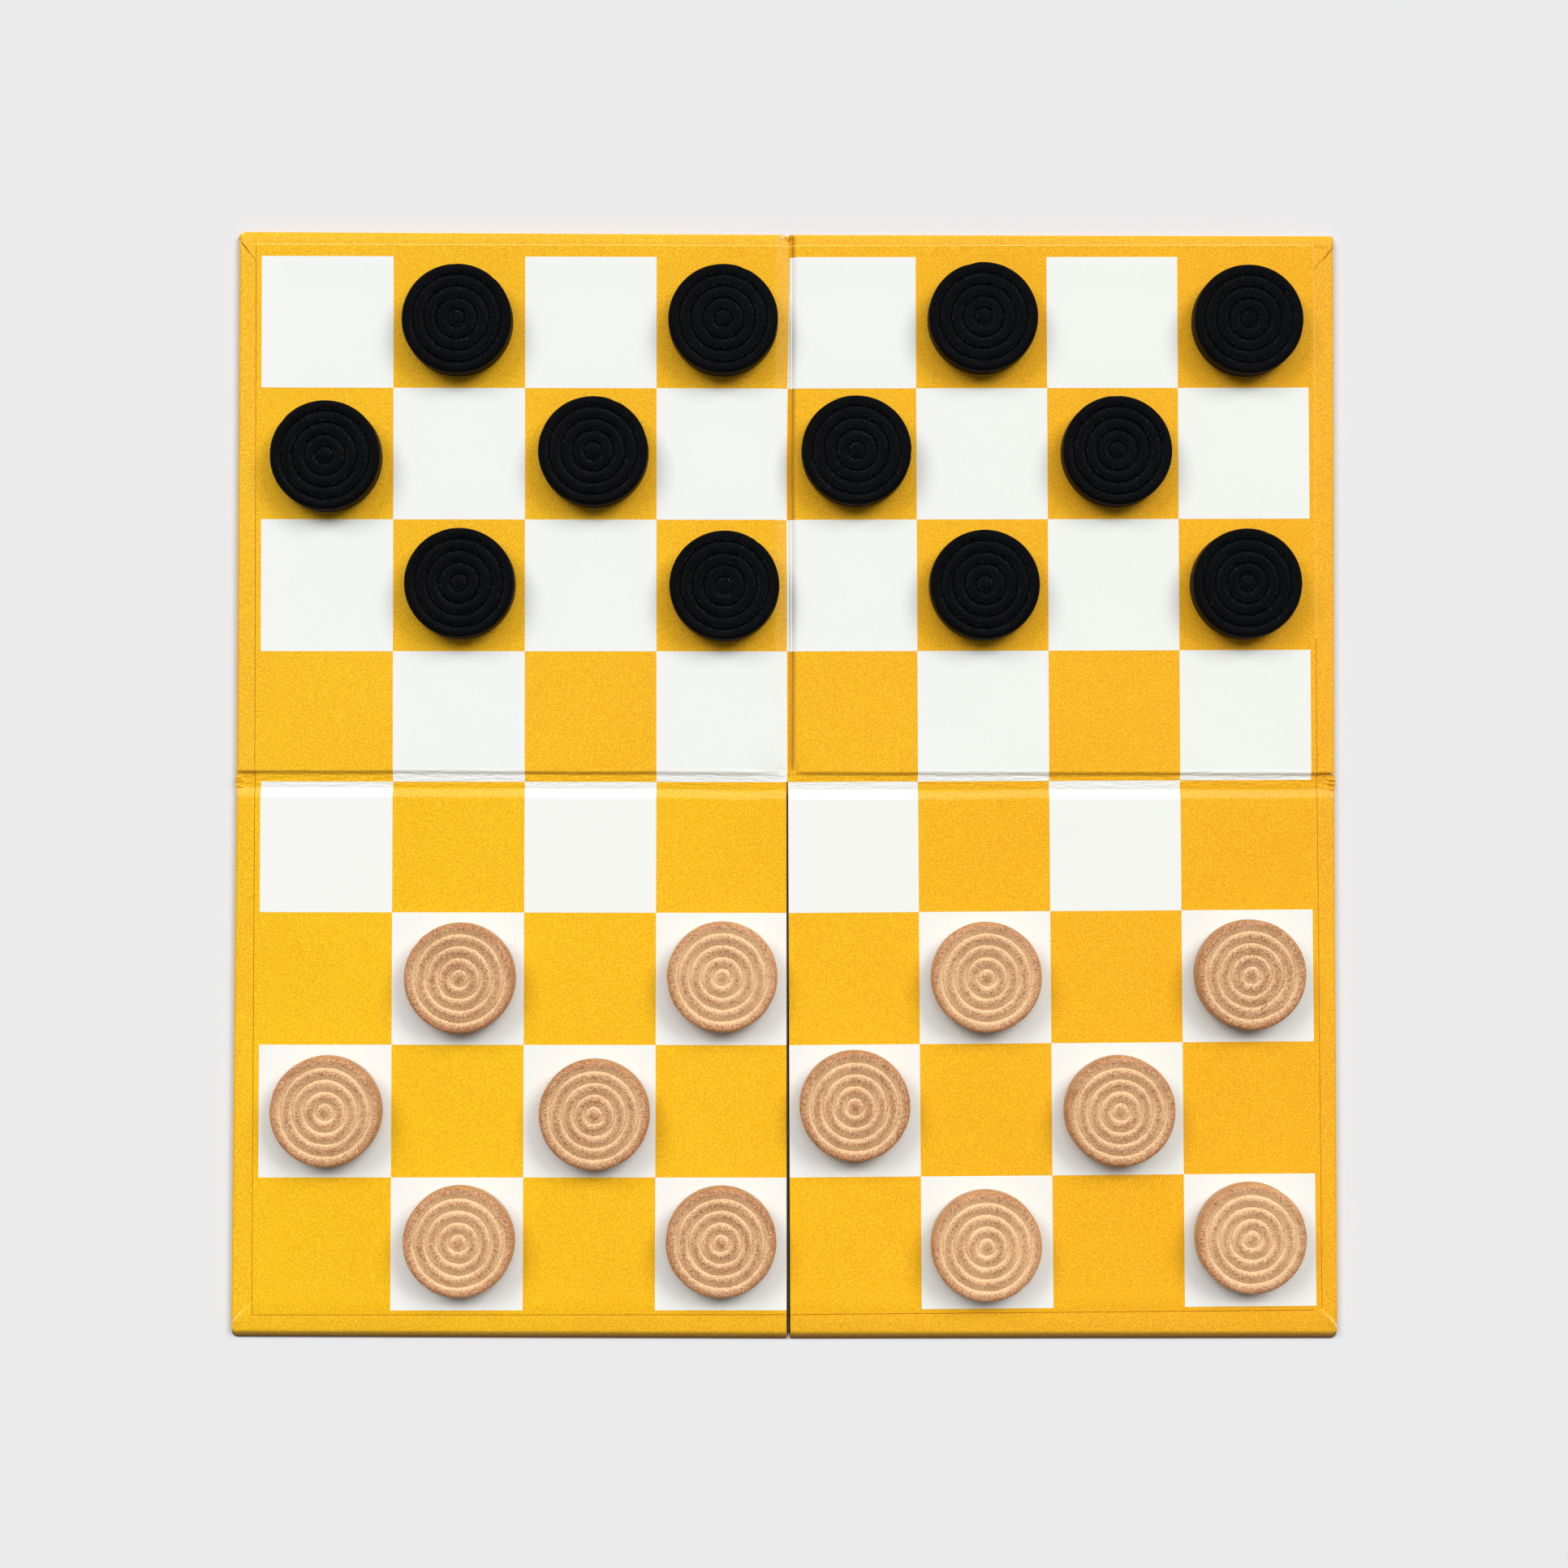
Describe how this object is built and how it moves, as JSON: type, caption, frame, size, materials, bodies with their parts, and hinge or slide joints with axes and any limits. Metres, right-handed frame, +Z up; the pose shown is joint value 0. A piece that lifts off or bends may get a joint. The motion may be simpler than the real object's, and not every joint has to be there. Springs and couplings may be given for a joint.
{
  "type": "checkers set",
  "caption": "Game board that folds in four, paper over greyboard with a printed checker pattern, set up with ring-turned wooden men in black and natural wood.",
  "frame": {"origin": "centre of the open board's underside, on the surface it lies on", "axes": "+Z up, +X to the right, +Y towards the far side, where the black men stand"},
  "size_m": [0.3194, 0.321, 0.0106],
  "materials": {
    "greyboard": "matte",
    "cover_paper": "matte",
    "printed_paper": "matte",
    "white_print": "matte",
    "black_wood": "matte",
    "natural_wood": "satin"
  },
  "bodies": {
    "root": {"panel_far_left": "greyboard", "panel_far_right": "greyboard", "panel_near_left": "greyboard", "panel_near_right": "greyboard", "cover_paper": "cover_paper", "play_sheet": "printed_paper", "white_squares": "white_print", "black_man_01": "black_wood", "black_man_02": "black_wood", "black_man_03": "black_wood", "black_man_04": "black_wood", "black_man_05": "black_wood", "black_man_06": "black_wood", "black_man_07": "black_wood", "black_man_08": "black_wood", "black_man_09": "black_wood", "black_man_10": "black_wood", "black_man_11": "black_wood", "black_man_12": "black_wood", "natural_man_01": "natural_wood", "natural_man_02": "natural_wood", "natural_man_03": "natural_wood", "natural_man_04": "natural_wood", "natural_man_05": "natural_wood", "natural_man_06": "natural_wood", "natural_man_07": "natural_wood", "natural_man_08": "natural_wood", "natural_man_09": "natural_wood", "natural_man_10": "natural_wood", "natural_man_11": "natural_wood", "natural_man_12": "natural_wood"}
  },
  "joints": []
}
